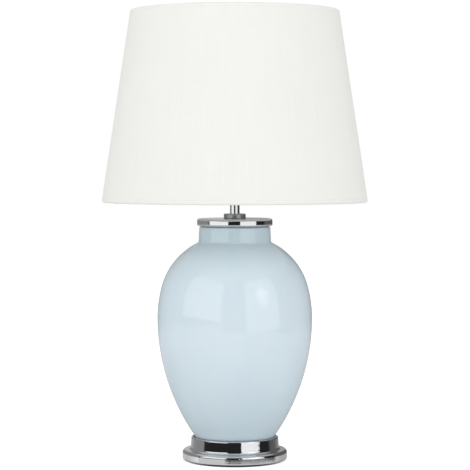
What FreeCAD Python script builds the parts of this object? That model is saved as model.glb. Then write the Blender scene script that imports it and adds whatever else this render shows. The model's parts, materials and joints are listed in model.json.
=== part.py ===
"""Table lamp: a glazed jar between a stepped chrome plinth and a chrome cap, with a tapered drum shade.

Millimetres, +Z up. The origin is on the table under the lamp's axis. The front faces -Y, and the mains
lead enters at the back, +Y. A hollow all-thread rod clamps the stack, from the nut under the plinth's
deck to the collar nut on the cap, and carries the lampholder. The shade hangs on the lampholder's seat
by a three-wire fitter, held down by a threaded clamp ring. A push bar through the lampholder is the
switch.
"""
import FreeCAD, Part
import Sketcher
import math
import os
import re

from FreeCAD import Placement, Rotation, Vector

DIMENSIONS = [
    # felt, closing plate and stepped plinth
    ("felt_thick", 1.0, "felt under the plinth"),
    ("felt_radius", 67.0, "felt under the plinth"),
    ("plate_radius", 66.1, "fibreboard disc that closes the plinth"),
    ("plinth_radius", 70.4, "lower step"),
    ("plinth_wall", 1.5, "spun sheet, and the disc that closes it"),
    ("plinth_lip", 66.3, "inner radius of the turned-in bottom edge"),
    ("foot_round", 3.0, "outer rounding at the bottom of the lower step"),
    ("step_top", 15.0, "height of the lower step"),
    ("step_round", 4.3, "outer rounding at the top of the lower step"),
    ("cove_round", 3.6, "hollow between the two steps"),
    ("drum_foot_radius", 59.5, "upper step, above the cove"),
    ("drum_top_radius", 58.6, "upper step, under its rim"),
    ("rim_round", 1.9, "outer rounding of the rim"),
    ("rim_inner_radius", 55.6, "inner side of the rim round the jar's foot"),
    ("rim_inner_round", 0.8, "inner rounding of the rim"),
    ("plinth_top", 32.2, "height of the rim"),
    ("deck_top", 28.6, "sheet that the jar stands on"),
    ("deck_hole_radius", 5.3, "clears the rod, in the deck and in the cap"),
    # mains lead
    ("lead_height", 7.2, "centre of the inlet"),
    ("lead_radius", 2.7, "two-core lead inside the lamp"),
    ("lead_bend", 9.0, "where the lead turns up into the rod"),
    ("lead_start", 65.1, "outer end of the lead, behind the grommet"),
    ("lead_end", 358.0, "top of the sheath, in the lampholder"),
    ("grommet_bore_radius", 2.9, "passes the lead"),
    ("grommet_neck_radius", 3.7, "groove round the plinth's hole"),
    ("grommet_hole_radius", 3.8, "hole in the plinth"),
    ("grommet_inner_radius", 4.2, "inner flange"),
    ("grommet_outer_radius", 4.9, "outer flange"),
    ("grommet_inner_end", 66.8, "distance of the inner face from the axis"),
    ("grommet_inner_face", 68.4, "inner side of the groove"),
    ("grommet_outer_face", 70.6, "outer side of the groove"),
    ("grommet_outer_end", 72.2, "distance of the outer face from the axis"),
    ("grommet_round", 0.7, "rounding of the outer flange"),
    # rod, nut and washer
    ("rod_radius", 4.95, "all-thread M10 x 1"),
    ("rod_bore_radius", 3.7, "passes the lead"),
    ("rod_bottom", 17.6, "lower end of the rod"),
    ("rod_top", 356.0, "upper end of the rod, in the lampholder"),
    ("nut_bore_radius", 5.0, "M10 x 1 thread, drawn plain"),
    ("nut_corner_radius", 9.8, "hexagon nut, 17 mm across flats"),
    ("nut_thick", 4.0, "hexagon nut"),
    ("washer_radius", 20.0, "wide washer under the deck"),
    ("washer_bore_radius", 5.2, "wide washer under the deck"),
    ("washer_thick", 1.5, "wide washer under the deck"),
    # glazed jar
    ("gasket_thick", 1.0, "foam ring under the jar"),
    ("gasket_inner_radius", 38.0, "foam ring under the jar"),
    ("gasket_outer_radius", 50.5, "foam ring under the jar"),
    ("jar_foot_radius", 51.4, "flat of the foot"),
    ("jar_foot_bevel", 1.5, "height of the bevel round the foot"),
    ("jar_floor_thick", 7.0, "floor of the jar"),
    ("jar_hole_radius", 7.0, "hole in the floor"),
    ("jar_wall", 5.5, "side of the jar"),
    ("belly_radius", 103.9, "widest point"),
    ("belly_height", 191.3, "height of the widest point"),
    ("lower_arc", 277.0, "radius of the flank below the belly"),
    ("upper_arc", 164.0, "radius of the flank above the belly"),
    ("shoulder_arc", 90.6, "radius of the shoulder"),
    ("shoulder_start", 15.45, "degrees above the belly where the shoulder begins"),
    ("neck_fillet", 2.6, "hollow between shoulder and neck"),
    ("neck_foot_radius", 48.5, "neck above the shoulder"),
    ("neck_top_radius", 47.7, "neck under the lip"),
    ("neck_top", 314.0, "height of the lip"),
    ("lip_round", 2.0, "outer rounding of the lip"),
    ("lip_inner_round", 1.0, "inner rounding of the lip"),
    ("neck_bore_radius", 42.8, "mouth of the jar"),
    # cap on the neck
    ("seal_thick", 0.8, "ring between neck and cap"),
    ("seal_inner_radius", 43.2, "ring between neck and cap"),
    ("seal_outer_radius", 45.6, "ring between neck and cap"),
    ("cap_radius", 50.6, "chrome cap"),
    ("cap_wall", 1.5, "spun sheet"),
    ("cap_top", 325.0, "height of the cap"),
    ("cap_top_round", 3.0, "rounding at the top of the cap"),
    ("cap_foot_round", 2.6, "rounding at the bottom of the cap"),
    ("cap_return_radius", 40.0, "inner edge of the turned-in underside"),
    ("spigot_radius", 42.4, "ring that centres the cap in the neck"),
    ("spigot_inner_radius", 39.4, "ring that centres the cap in the neck"),
    ("spigot_bottom", 306.5, "ring that centres the cap in the neck"),
    ("collar_radius", 14.7, "round nut on the cap"),
    ("collar_thick", 6.4, "round nut on the cap"),
    ("collar_round", 1.2, "round nut, upper edge"),
    ("collar_bevel", 0.5, "round nut, lower edge"),
    ("sleeve_radius", 6.5, "bright tube round the rod"),
    ("sleeve_bore_radius", 5.2, "bright tube round the rod"),
    # lampholder
    ("holder_bottom", 345.0, "lower end of the lampholder"),
    ("boss_radius", 8.0, "threaded entry"),
    ("boss_top", 352.5, "threaded entry"),
    ("dome_round", 9.0, "lower edge of the dome"),
    ("dome_radius", 19.5, "switch chamber"),
    ("dome_wall", 2.0, "switch chamber"),
    ("dome_top", 377.0, "joint between dome and skirt"),
    ("grub_radius", 1.4, "screw that locks the dome on the rod"),
    ("grub_clearance", 0.1, "round the screw"),
    ("grub_height", 348.7, "screw that locks the dome on the rod"),
    ("grub_length", 4.0, "screw that locks the dome on the rod"),
    ("seat_radius", 22.8, "flange that the shade rests on"),
    ("seat_top", 380.0, "flange that the shade rests on"),
    ("skirt_bore_radius", 17.4, "threaded skirt"),
    ("thread_crest", 19.8, "thread for the clamp ring"),
    ("thread_depth", 0.8, "thread for the clamp ring"),
    ("thread_pitch", 2.5, "thread for the clamp ring"),
    ("thread_start", 381.5, "lowest thread"),
    ("skirt_top", 409.0, "mouth of the lampholder"),
    ("skirt_mouth_radius", 15.4, "mouth of the lampholder"),
    ("skirt_lip", 1.6, "thickness of the mouth's lip"),
    ("insert_radius", 17.2, "moulded core that carries the contacts"),
    ("insert_bore_radius", 2.0, "rivet hole in the core"),
    ("insert_bottom", 379.4, "underside of the core"),
    ("insert_floor", 386.0, "top of the core's disc"),
    ("insert_collar_inner", 14.9, "collar round the screw shell"),
    ("insert_collar_outer", 16.6, "collar round the screw shell"),
    ("insert_collar_top", 396.0, "collar round the screw shell"),
    ("terminal_offset", 7.5, "distance of each terminal from the axis"),
    ("terminal_width", 5.0, "terminal block"),
    ("terminal_height", 6.0, "terminal block"),
    ("terminal_bore_radius", 1.3, "takes the bared core"),
    ("terminal_roof", 1.5, "solid end of the terminal block"),
    ("terminal_screw_radius", 1.4, "clamps the core"),
    ("terminal_screw_start", 1.25, "tip of the screw, from the terminal's centre"),
    ("terminal_screw_length", 5.0, "clamps the core"),
    ("shell_minor_radius", 13.4, "lamp thread in the holder, inside"),
    ("shell_depth", 0.7, "lamp thread in the holder"),
    ("shell_thick", 0.4, "lamp thread in the holder"),
    ("shell_pitch", 3.6, "lamp thread in the holder, and of the lamp cap"),
    ("shell_floor_radius", 10.0, "turned-in end of the screw shell"),
    ("contact_width", 4.0, "centre contact leaf"),
    ("contact_thick", 0.4, "centre contact leaf"),
    ("contact_rise", 3.4, "centre contact leaf, to its top"),
    ("contact_reach", 7.0, "half the length of the centre contact leaf"),
    ("contact_knee", 3.4, "where the leaf leaves the core"),
    ("contact_crown", 1.6, "half the flat on the leaf's top"),
    ("core_radius", 1.1, "insulated core inside the lampholder"),
    ("core_offset", 1.3, "distance of each core from the axis in the sheath"),
    ("core_bend", 2.2, "bends of the cores"),
    ("core_gap", 1.0, "between each core's end and its terminal's solid end"),
    # push switch in the lampholder
    ("bar_radius", 3.1, "push bar"),
    ("bar_clearance", 0.2, "round the push bar"),
    ("bar_round", 1.2, "ends of the push bar"),
    ("bar_height", 369.4, "axis of the push bar"),
    ("bar_short_end", 22.5, "from the axis to the pushed-in end"),
    ("bar_long_end", 27.5, "from the axis to the end that stands out"),
    ("leaf_thick", 0.4, "switch contact leaf"),
    ("leaf_width", 7.0, "switch contact leaf"),
    ("leaf_offset", 4.2, "switch contact leaf, from the axis"),
    ("leaf_bottom", 364.6, "switch contact leaf"),
    # lamp
    ("lamp_tip", 390.0, "end contact"),
    ("tip_radius", 4.6, "end contact"),
    ("tip_thick", 1.0, "end contact"),
    ("insulator_radius", 12.0, "glass ring round the end contact"),
    ("insulator_top", 394.5, "glass ring round the end contact"),
    ("lamp_cap_crest", 13.1, "screw cap"),
    ("lamp_cap_depth", 0.9, "screw cap"),
    ("lamp_cap_thick", 0.4, "screw cap"),
    ("lamp_cap_top", 414.0, "screw cap"),
    ("housing_foot_radius", 14.2, "moulded collar of the lamp"),
    ("housing_top_radius", 27.4, "moulded collar of the lamp"),
    ("housing_grip", 3.0, "how far the collar reaches down over the cap"),
    ("housing_top", 450.0, "moulded collar of the lamp"),
    ("housing_flare", 52.0, "radius of the collar's side"),
    ("housing_wall", 1.6, "moulded collar of the lamp"),
    ("board_thick", 1.6, "light-emitting board"),
    ("board_radius", 24.2, "light-emitting board"),
    ("globe_radius", 30.0, "opal globe"),
    ("globe_wall", 1.2, "opal globe"),
    # shade
    ("shade_bottom", 346.8, "lower edge"),
    ("shade_top", 602.5, "upper edge"),
    ("shade_foot_radius", 177.8, "lower edge"),
    ("shade_top_radius", 139.7, "upper edge"),
    ("fabric_thick", 0.6, "cloth"),
    ("liner_thick", 0.5, "stiff film behind the cloth"),
    ("roll_radius", 2.2, "outside of the cloth rolled over the wire"),
    ("wire_radius", 1.4, "rings and spokes"),
    ("hem_length", 11.0, "turned-in edge"),
    ("layer_gap", 0.03, "between cloth, film and hem"),
    ("liner_start", 2.2, "from each wire's centre to the film's edge"),
    ("hub_inner_radius", 20.6, "fitter plate"),
    ("hub_outer_radius", 28.0, "fitter plate"),
    ("hub_thick", 1.6, "fitter plate"),
    ("hub_gap", 0.1, "between the fitter plate and what holds it"),
    ("spoke_inner_radius", 24.7, "inner ends of the spokes"),
    ("spoke_weld", 0.3, "how far the spokes sink into the fitter plate"),
    ("slot_radius", 2.1, "slot in the hem round each spoke"),
    ("slot_start", 0.6, "from the wire's centre to the slot"),
    ("slot_length", 9.0, "slot in the hem round each spoke"),
    # clamp ring of the shade
    ("ring_bore_radius", 20.1, "clears the skirt's thread"),
    ("ring_sleeve_radius", 22.6, "clamp ring"),
    ("ring_flange_radius", 27.2, "clamp ring"),
    ("ring_flange_thick", 2.4, "clamp ring"),
    ("ring_tall", 9.5, "clamp ring"),
    ("rib_radius", 0.7, "grip ribs"),
    ("rib_count", 24, "grip ribs"),
]
SPOKES = 3
FIRST_SPOKE = 90.0
THREAD_TURNS = 10
SHELL_STEPS = 10
LAMP_CAP_STEPS = 8
RIGHT = Vector(1, 0, 0)
BACK = Vector(0, 1, 0)
UP = Vector(0, 0, 1)

ALIASES = {alias for alias, value, note in DIMENSIONS}

doc = FreeCAD.newDocument("table_lamp")
sheet = doc.addObject("Spreadsheet::Sheet", "Dims")
for row, (alias, value, note) in enumerate(DIMENSIONS, start=1):
    sheet.set(f"A{row}", alias)
    sheet.set(f"B{row}", str(value))
    sheet.set(f"C{row}", note)
    sheet.setAlias(f"B{row}", alias)
doc.recompute()

nodes = []


def bound(text):
    """An expression in which each alias is read from the sheet."""
    return re.sub(r"[a-z_]+", lambda m: "Dims." + m[0] if m[0] in ALIASES else m[0], text)


def size(text):
    """The value of a sum or difference of aliases."""
    terms = text.replace(" - ", " + -").split(" + ")
    return sum(-float(sheet.get(t[1:])) if t.startswith("-") else float(sheet.get(t)) for t in terms)


def keep(piece, label):
    """Names a finished sub-part. The label is its file's name."""
    piece.Label = label
    nodes.append(piece)
    return piece


# ---- sketches ----

def sketch_on(body, role, name):
    """A sketch on one of the body's own origin planes."""
    plane = next(f for f in body.Origin.OriginFeatures if f.Role == role)
    sketch = body.newObject("Sketcher::SketchObject", name)
    sketch.AttachmentSupport = [(plane, "")]
    sketch.MapMode = "FlatFace"
    return sketch


def place_corners(sketch, corners):
    """One construction point per corner, each coordinate bound to its expression."""
    for index, corner in enumerate(corners):
        sketch.addGeometry(Part.Point(Vector(index, index, 0)), True)
        for kind, text in zip(("DistanceX", "DistanceY"), corner):
            held = sketch.addConstraint(Sketcher.Constraint(kind, -1, 1, index, 1, float(index)))
            sketch.setExpression(f"Constraints[{held}]", bound(text))
    doc.recompute()
    return [Vector(point.X, point.Y, 0) for point in sketch.Geometry]


def arc_between(start, end, radius, turn):
    """The arc from start to end that is no longer than a half turn; turn is +1 to the left."""
    chord = end - start
    offset = math.sqrt(max(radius ** 2 - chord.Length ** 2 / 4, 0.0))
    left = Vector(-chord.y, chord.x, 0) / chord.Length
    centre = (start + end) / 2 + left * offset * turn
    return arc_about(centre, start, end, radius, turn)


def arc_about(centre, start, end, radius, turn):
    """The arc about a centre from start to end, to the left or to the right."""
    first, last = (start, end) if turn > 0 else (end, start)
    begin, finish = (math.atan2(p.y - centre.y, p.x - centre.x) for p in (first, last))
    if finish < begin:
        finish += 2 * math.pi
    return Part.ArcOfCircle(Part.Circle(centre, Vector(0, 0, 1), radius), begin, finish)


def draw_outline(sketch, corners, arcs):
    """Closes an outline through the corners, each a pair of expressions. arcs gives, for the corner
    that a round stretch starts from, its radius and +1 where it turns left or -1 where right."""
    points = place_corners(sketch, corners)
    for index, start in enumerate(points):
        after = (index + 1) % len(points)
        ends = (index, after)
        if index in arcs:
            radius, turn = arcs[index]
            edge = sketch.addGeometry(arc_between(start, points[after], size(radius), turn), False)
            held = sketch.addConstraint(Sketcher.Constraint("Radius", edge, size(radius)))
            sketch.setExpression(f"Constraints[{held}]", bound(radius))
            ends = ends[::turn]
        else:
            edge = sketch.addGeometry(Part.LineSegment(start, points[after]), False)
        for side, corner in zip((1, 2), ends):
            sketch.addConstraint(Sketcher.Constraint("Coincident", edge, side, corner, 1))
    doc.recompute()


# ---- ways of making a piece ----

def turned(name, corners, arcs=None):
    """A body turned about Z from an outline of (distance from the axis, height) corners."""
    body = doc.addObject("PartDesign::Body", name)
    sketch = sketch_on(body, "XZ_Plane", name + "_outline")
    draw_outline(sketch, corners, arcs or {})
    spin = body.newObject("PartDesign::Revolution", name + "_turn")
    spin.Profile = sketch
    spin.ReferenceAxis = (sketch, ["V_Axis"])
    spin.Angle = 360
    doc.recompute()
    return body


def turned_ring(name, inner, outer, bottom, top):
    """A turned piece with a rectangular section."""
    return turned(name, [(inner, bottom), (outer, bottom), (outer, top), (inner, top)])


def place(piece, point, rotation=Rotation()):
    """Turns a piece and binds its position to a point of three expressions."""
    piece.Placement = Placement(Vector(), rotation)
    for axis, text in zip("xyz", point):
        piece.setExpression("Placement.Base." + axis, bound(text))
    return piece


def rod_along(name, radius, length, start, direction):
    """A cylinder from a point, given as three expressions, along a direction."""
    rod = doc.addObject("Part::Cylinder", name)
    rod.setExpression("Radius", bound(radius))
    rod.setExpression("Height", bound(length))
    return place(rod, start, Rotation(UP, direction))


def disc(name, radius, bottom, top):
    """A plain round disc about the axis."""
    return rod_along(name, radius, f"{top} - ({bottom})", ("0", "0", bottom), UP)


def box_at(name, sides, low):
    """A box of three bound sides, from its lowest corner."""
    box = doc.addObject("Part::Box", name)
    for side, text in zip(("Length", "Width", "Height"), sides):
        box.setExpression(side, bound(text))
    return place(box, low)


def cut(name, base, *tools):
    """The base less each tool."""
    for index, tool in enumerate(tools):
        less = doc.addObject("Part::Cut", f"{name}_cut{index}")
        less.Base = base
        less.Tool = tool
        base = less
    doc.recompute()
    return base


def group(name, pieces):
    """Several separate solids in one node."""
    compound = doc.addObject("Part::Compound", name)
    compound.Links = pieces
    doc.recompute()
    return compound


def wire_ring(name, radius, height):
    """A round wire bent to a circle about Z."""
    ring = doc.addObject("Part::Torus", name)
    ring.setExpression("Radius1", bound(radius))
    ring.setExpression("Radius2", bound("wire_radius"))
    return place(ring, ("0", "0", height))


def rounded_path(points, bend):
    """Straight runs through the points, joined by tangent arcs of one radius."""
    edges = []
    start = points[0]
    for before, corner, after in zip(points, points[1:], points[2:]):
        back = (before - corner).normalize()
        ahead = (after - corner).normalize()
        half = back.getAngle(ahead) / 2
        leave = corner + back * (bend / math.tan(half))
        join = corner + ahead * (bend / math.tan(half))
        middle = corner + (back + ahead).normalize() * (bend / math.sin(half) - bend)
        edges.append(Part.LineSegment(start, leave).toShape())
        edges.append(Part.Arc(leave, middle, join).toShape())
        start = join
    edges.append(Part.LineSegment(start, points[-1]).toShape())
    return Part.Wire(edges)


def swept(name, points, radius, bend):
    """A round lead along a path, checked against its section times its length."""
    path = rounded_path(points, size(bend))
    tangent = points[1] - points[0]
    section = Part.Wire(Part.Circle(points[0], tangent, size(radius)).toShape())
    piece = doc.addObject("Part::Feature", name)
    piece.Shape = path.makePipeShell([section], True, False)
    expected = math.pi * size(radius) ** 2 * path.Length
    print(f"{name}: {path.Length:.1f} mm long, volume {piece.Shape.Volume / expected:.4f} of expected")
    return piece


# ---- plinth ----

def make_plinth():
    """Spun shell of two steps with a sunk deck and a turned-in bottom edge."""
    foot = "felt_thick + foot_round"
    shell = turned("plinth_shell", [
        ("plinth_lip", "felt_thick"),
        ("plinth_radius - foot_round", "felt_thick"),
        ("plinth_radius", foot),
        ("plinth_radius", "step_top - step_round"),
        ("plinth_radius - step_round", "step_top"),
        ("drum_foot_radius + cove_round", "step_top"),
        ("drum_foot_radius", "step_top + cove_round"),
        ("drum_top_radius", "plinth_top - rim_round"),
        ("drum_top_radius - rim_round", "plinth_top"),
        ("rim_inner_radius + rim_inner_round", "plinth_top"),
        ("rim_inner_radius", "plinth_top - rim_inner_round"),
        ("rim_inner_radius", "deck_top"),
        ("deck_hole_radius", "deck_top"),
        ("deck_hole_radius", "deck_top - plinth_wall"),
        ("drum_top_radius - plinth_wall", "deck_top - plinth_wall"),
        ("drum_foot_radius - plinth_wall", "step_top + cove_round"),
        ("drum_foot_radius + cove_round", "step_top - plinth_wall"),
        ("plinth_radius - step_round", "step_top - plinth_wall"),
        ("plinth_radius - plinth_wall", "step_top - step_round"),
        ("plinth_radius - plinth_wall", foot),
        ("plinth_radius - foot_round", "felt_thick + plinth_wall"),
        ("plinth_lip", "felt_thick + plinth_wall"),
    ], {
        1: ("foot_round", 1),
        3: ("step_round", 1),
        5: ("cove_round", -1),
        7: ("rim_round", 1),
        9: ("rim_inner_round", 1),
        15: ("cove_round + plinth_wall", 1),
        17: ("step_round - plinth_wall", -1),
        19: ("foot_round - plinth_wall", -1),
    })
    inlet_start = ("0", "plate_radius", "lead_height")
    inlet = rod_along("inlet_hole", "grommet_hole_radius", "plinth_radius / 5", inlet_start, BACK)
    keep(cut("plinth", shell, inlet), "plinth")
    keep(disc("felt", "felt_radius", "0", "felt_thick"), "base_felt")
    keep(disc("plate", "plate_radius", "felt_thick", "felt_thick + plinth_wall"), "bottom_plate")


def make_grommet():
    """Rubber bush in the back of the lower step, turned about Z and laid along +Y."""
    bush = turned("grommet", [
        ("grommet_bore_radius", "grommet_inner_end"),
        ("grommet_inner_radius", "grommet_inner_end"),
        ("grommet_inner_radius", "grommet_inner_face"),
        ("grommet_neck_radius", "grommet_inner_face"),
        ("grommet_neck_radius", "grommet_outer_face"),
        ("grommet_outer_radius", "grommet_outer_face"),
        ("grommet_outer_radius", "grommet_outer_end - grommet_round"),
        ("grommet_outer_radius - grommet_round", "grommet_outer_end"),
        ("grommet_bore_radius", "grommet_outer_end"),
    ], {6: ("grommet_round", 1)})
    keep(place(bush, ("0", "0", "lead_height"), Rotation(UP, BACK)), "inlet_grommet")


def make_rod():
    """Hollow all-thread rod with the washer and hexagon nut that pull it down."""
    keep(turned_ring("rod", "rod_bore_radius", "rod_radius", "rod_bottom", "rod_top"), "threaded_rod")
    washer_top = "deck_top - plinth_wall"
    washer_bottom = washer_top + " - washer_thick"
    washer = turned_ring("washer", "washer_bore_radius", "washer_radius", washer_bottom, washer_top)
    keep(washer, "base_washer")
    blank = doc.addObject("Part::Prism", "nut_blank")
    blank.Polygon = 6
    blank.setExpression("Circumradius", bound("nut_corner_radius"))
    blank.setExpression("Height", bound("nut_thick"))
    place(blank, ("0", "0", washer_bottom + " - nut_thick"))
    bore = disc("nut_bore", "nut_bore_radius", "rod_bottom", "deck_top")
    keep(cut("nut", blank, bore), "base_nut")


# ---- jar and cap ----

def make_jar():
    """Hollow jar: a foot, two flank arcs, a shoulder arc and a near-straight neck with a rounded lip."""
    foot = "deck_top + gasket_thick"
    floor = foot + " + jar_floor_thick"
    bevel_top = foot + " + jar_foot_bevel"
    shoulder_across = "(belly_radius - upper_arc + (upper_arc - shoulder_arc) * cos(shoulder_start))"
    shoulder_up = "(belly_height + (upper_arc - shoulder_arc) * sin(shoulder_start))"
    fillet_across = "(neck_foot_radius + neck_fillet)"
    reach = f"sqrt((shoulder_arc + neck_fillet)^2 - ({fillet_across} - {shoulder_across})^2)"
    share = "shoulder_arc / (shoulder_arc + neck_fillet)"
    touch_across = f"{shoulder_across} + ({fillet_across} - {shoulder_across}) * {share}"
    inner_reach = f"sqrt((shoulder_arc - jar_wall)^2 - (neck_bore_radius - {shoulder_across})^2)"

    def flank(height, inset):
        drop = f"(belly_height - ({height}))"
        return f"belly_radius - lower_arc + sqrt((lower_arc - {inset})^2 - {drop}^2)"

    def spring(inset):
        across = f"belly_radius - upper_arc + (upper_arc - {inset}) * cos(shoulder_start)"
        return across, f"belly_height + (upper_arc - {inset}) * sin(shoulder_start)"

    jar = turned("jar", [
        ("jar_hole_radius", foot),
        ("jar_foot_radius", foot),
        (flank(bevel_top, "0"), bevel_top),
        ("belly_radius", "belly_height"),
        spring("0"),
        (touch_across, f"{shoulder_up} + {reach} * {share}"),
        ("neck_foot_radius", f"{shoulder_up} + {reach}"),
        ("neck_top_radius", "neck_top - lip_round"),
        ("neck_top_radius - lip_round", "neck_top"),
        ("neck_bore_radius + lip_inner_round", "neck_top"),
        ("neck_bore_radius", "neck_top - lip_inner_round"),
        ("neck_bore_radius", f"{shoulder_up} + {inner_reach}"),
        spring("jar_wall"),
        ("belly_radius - jar_wall", "belly_height"),
        (flank(floor, "jar_wall"), floor),
        ("jar_hole_radius", floor),
    ], {
        2: ("lower_arc", 1),
        3: ("upper_arc", 1),
        4: ("shoulder_arc", 1),
        5: ("neck_fillet", -1),
        7: ("lip_round", 1),
        9: ("lip_inner_round", 1),
        11: ("shoulder_arc - jar_wall", -1),
        12: ("upper_arc - jar_wall", -1),
        13: ("lower_arc - jar_wall", -1),
    })
    keep(jar, "jar")
    gasket = turned_ring("gasket", "gasket_inner_radius", "gasket_outer_radius", "deck_top", foot)
    keep(gasket, "foot_gasket")


def make_cap():
    """Hollow chrome cap, its seal and centring ring, and the collar nut and tube above it."""
    bottom = "neck_top + seal_thick"
    cap = turned("cap", [
        ("cap_return_radius", bottom),
        ("cap_radius - cap_foot_round", bottom),
        ("cap_radius", bottom + " + cap_foot_round"),
        ("cap_radius", "cap_top - cap_top_round"),
        ("cap_radius - cap_top_round", "cap_top"),
        ("deck_hole_radius", "cap_top"),
        ("deck_hole_radius", "cap_top - cap_wall"),
        ("cap_radius - cap_top_round", "cap_top - cap_wall"),
        ("cap_radius - cap_wall", "cap_top - cap_top_round"),
        ("cap_radius - cap_wall", bottom + " + cap_foot_round"),
        ("cap_radius - cap_foot_round", bottom + " + cap_wall"),
        ("cap_return_radius", bottom + " + cap_wall"),
    ], {
        1: ("cap_foot_round", 1),
        3: ("cap_top_round", 1),
        7: ("cap_top_round - cap_wall", -1),
        9: ("cap_foot_round - cap_wall", -1),
    })
    keep(cap, "jar_cap")
    seal = turned_ring("seal", "seal_inner_radius", "seal_outer_radius", "neck_top", bottom)
    keep(seal, "cap_seal")
    spigot = turned_ring("spigot", "spigot_inner_radius", "spigot_radius", "spigot_bottom", bottom)
    keep(spigot, "cap_centring_ring")
    collar_top = "cap_top + collar_thick"
    collar = turned("collar", [
        ("nut_bore_radius", "cap_top"),
        ("collar_radius - collar_bevel", "cap_top"),
        ("collar_radius", "cap_top + collar_bevel"),
        ("collar_radius", collar_top + " - collar_round"),
        ("collar_radius - collar_round", collar_top),
        ("nut_bore_radius", collar_top),
    ], {3: ("collar_round", 1)})
    keep(collar, "collar_nut")
    sleeve = turned_ring("sleeve", "sleeve_bore_radius", "sleeve_radius", collar_top, "holder_bottom")
    keep(sleeve, "rod_sleeve")


# ---- lampholder ----

def make_dome():
    """Lower half of the lampholder, with the switch chamber and the screw that locks it on the rod."""
    round_bottom = "boss_top + dome_round"
    shell = turned("dome_shell", [
        ("nut_bore_radius", "holder_bottom"),
        ("boss_radius", "holder_bottom"),
        ("boss_radius", "boss_top"),
        ("dome_radius - dome_round", "boss_top"),
        ("dome_radius", round_bottom),
        ("dome_radius", "dome_top"),
        ("dome_radius - dome_wall", "dome_top"),
        ("dome_radius - dome_wall", round_bottom),
        ("dome_radius - dome_round", "boss_top + dome_wall"),
        ("nut_bore_radius", "boss_top + dome_wall"),
    ], {3: ("dome_round", 1), 7: ("dome_round - dome_wall", -1)})
    bar_hole_radius = "bar_radius + bar_clearance"
    bar_hole_start = ("-bar_long_end", "0", "bar_height")
    bar_hole = rod_along("bar_hole", bar_hole_radius, "bar_long_end * 2", bar_hole_start, RIGHT)
    grub_hole_radius = "grub_radius + grub_clearance"
    grub_hole_start = ("0", "rod_bore_radius", "grub_height")
    grub_hole = rod_along("grub_hole", grub_hole_radius, "boss_radius", grub_hole_start, BACK)
    keep(cut("dome", shell, bar_hole, grub_hole), "holder_dome")
    grub_start = ("0", "nut_bore_radius", "grub_height")
    keep(rod_along("grub", "grub_radius", "grub_length", grub_start, BACK), "holder_grub_screw")


def make_skirt():
    """Upper half of the lampholder: the shade's seat and the thread for the clamp ring."""
    thread = []
    for turn in range(THREAD_TURNS):
        foot = f"thread_start + thread_pitch * {turn}"
        thread += [
            ("thread_crest - thread_depth", foot),
            ("thread_crest", foot + " + thread_pitch * 0.3"),
            ("thread_crest", foot + " + thread_pitch * 0.6"),
            ("thread_crest - thread_depth", foot + " + thread_pitch * 0.9"),
        ]
    skirt = turned("skirt", [
        ("skirt_bore_radius", "dome_top"),
        ("seat_radius", "dome_top"),
        ("seat_radius", "seat_top"),
        ("thread_crest - thread_depth", "seat_top"),
        *thread,
        ("thread_crest - thread_depth", "skirt_top"),
        ("skirt_mouth_radius", "skirt_top"),
        ("skirt_mouth_radius", "skirt_top - skirt_lip"),
        ("skirt_bore_radius", "skirt_top - skirt_lip"),
    ])
    keep(skirt, "holder_skirt")


def make_insert():
    """Moulded core with the screw shell and the centre contact."""
    insert = turned("insert", [
        ("insert_bore_radius", "insert_bottom"),
        ("insert_radius", "insert_bottom"),
        ("insert_radius", "insert_floor"),
        ("insert_collar_outer", "insert_floor"),
        ("insert_collar_outer", "insert_collar_top"),
        ("insert_collar_inner", "insert_collar_top"),
        ("insert_collar_inner", "insert_floor"),
        ("insert_bore_radius", "insert_floor"),
    ])
    keep(insert, "holder_core")
    wave = [
        (f"shell_minor_radius + shell_depth * {step % 2}", f"insert_floor + shell_pitch * {step} / 2")
        for step in range(1, SHELL_STEPS + 1)
    ]
    shell = turned("screw_shell", [
    ("shell_floor_radius", "insert_floor"),
        ("shell_minor_radius + shell_thick", "insert_floor"),
        *[(across + " + shell_thick", up) for across, up in wave],
        *wave[::-1],
        ("shell_minor_radius", "insert_floor + shell_thick"),
    ("shell_floor_radius", "insert_floor + shell_thick"),
    ])
    keep(shell, "lamp_screw_shell")
    side = [("contact_reach", "0"), ("contact_knee", "0"), ("contact_crown", "contact_rise - contact_thick")]
    over = [(across, f"insert_floor + {up}") for across, up in side]
    under = [(across, up + " + contact_thick") for across, up in over]
    left = [("-" + across, up) for across, up in over]
    left_top = [("-" + across, up) for across, up in under]
    contact = doc.addObject("PartDesign::Body", "contact")
    sketch = sketch_on(contact, "XZ_Plane", "contact_outline")
    draw_outline(sketch, [*left, *over[::-1], *under, *left_top[::-1]], {})
    pad = contact.newObject("PartDesign::Pad", "contact_pad")
    pad.Profile = sketch
    pad.Midplane = True
    pad.setExpression("Length", bound("contact_width"))
    doc.recompute()
    keep(contact, "centre_contact")


def make_terminals():
    """Two brass terminals under the core, with their screws."""
    bottom = "insert_bottom - terminal_height"
    blocks = []
    screws = []
    for side in ("", "-"):
        name = "back" if side == "" else "front"
        middle = f"{side}terminal_offset"
        block = box_at(
            f"{name}_block",
            ("terminal_width", "terminal_width", "terminal_height"),
            ("-terminal_width / 2", f"{middle} - terminal_width / 2", bottom))
        bore_length = "terminal_height - terminal_roof"
        bore = rod_along(f"{name}_bore", "terminal_bore_radius", bore_length, ("0", middle, bottom), UP)
        screw_start = ("terminal_screw_start", middle, bottom + " + terminal_height / 2")
        screw_line = ("terminal_screw_radius", "terminal_screw_length", screw_start, RIGHT)
        blocks.append(cut(f"{name}_terminal", block, bore, rod_along(f"{name}_thread", *screw_line)))
        screws.append(rod_along(f"{name}_screw", *screw_line))
    keep(group("terminals", blocks), "holder_terminals")
    keep(group("terminal_screws", screws), "terminal_screw_pair")


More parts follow.
